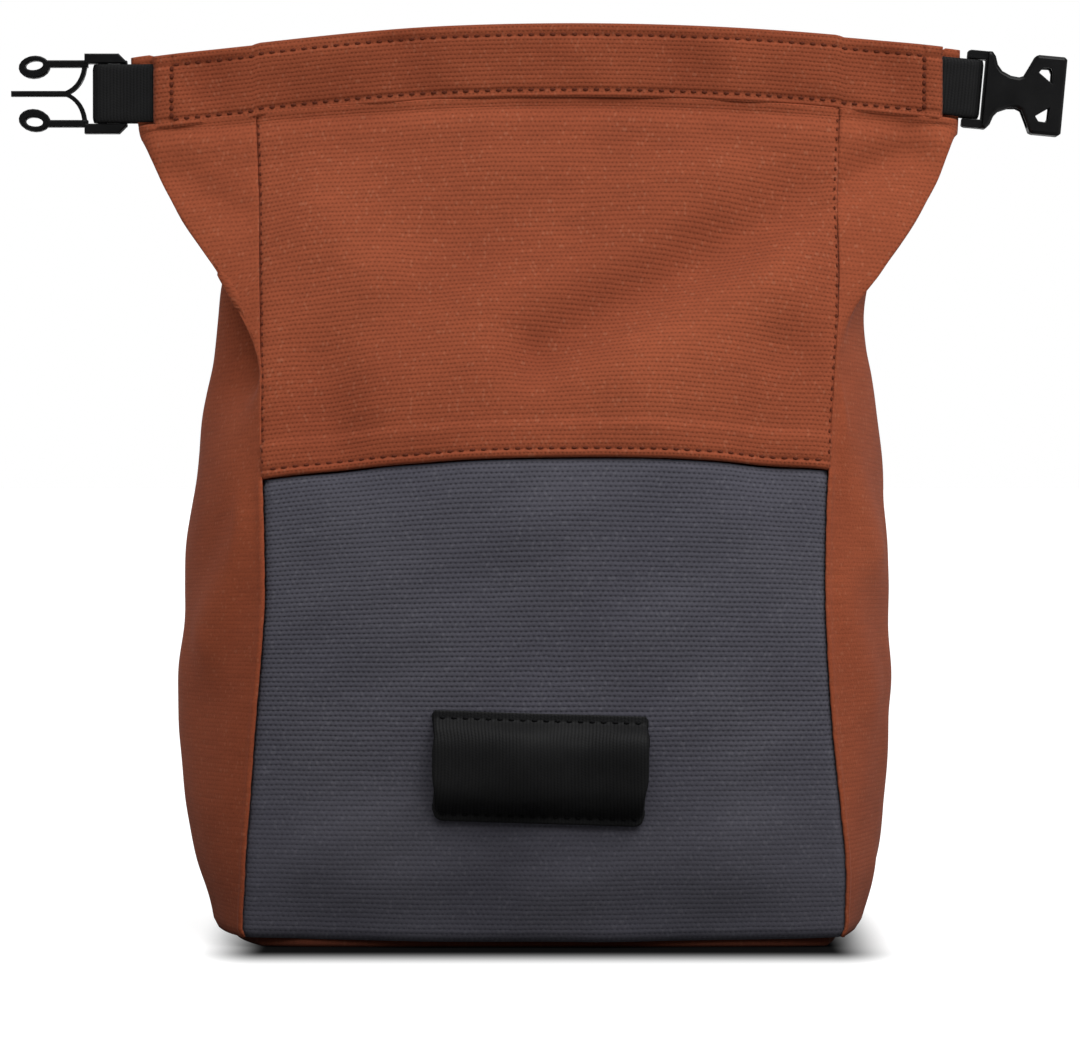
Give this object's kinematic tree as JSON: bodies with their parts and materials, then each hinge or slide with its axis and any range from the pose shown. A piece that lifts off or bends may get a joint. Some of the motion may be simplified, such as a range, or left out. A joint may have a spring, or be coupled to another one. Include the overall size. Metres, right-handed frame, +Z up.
{
  "type": "roll-top climbing chalk bag",
  "caption": "Canvas chalk bag standing open and unrolled, with folded ears at a flat mouth, side-release buckle halves on webbing tabs and a webbing brush loop.",
  "frame": {"origin": "on the floor, at the middle of the base panel's underside", "axes": "+Z up, the front panel with the brush loop faces -Y, and the mouth runs along X"},
  "size_m": [0.3455, 0.1395, 0.295],
  "materials": {
    "rust_canvas": "matte woven",
    "slate_canvas": "matte woven",
    "black_webbing": "matte ribbed",
    "black_plastic": "satin moulded"
  },
  "bodies": {
    "root": {"front_upper_panel": "rust_canvas", "front_lower_panel": "slate_canvas", "back_panel": "rust_canvas", "gusset_left": "rust_canvas", "gusset_right": "rust_canvas", "base_panel": "rust_canvas", "collar_front": "rust_canvas", "collar_back": "rust_canvas", "webbing_left": "black_webbing", "webbing_right": "black_webbing", "brush_loop": "black_webbing", "buckle_male": "black_plastic", "buckle_female": "black_plastic"}
  },
  "joints": []
}
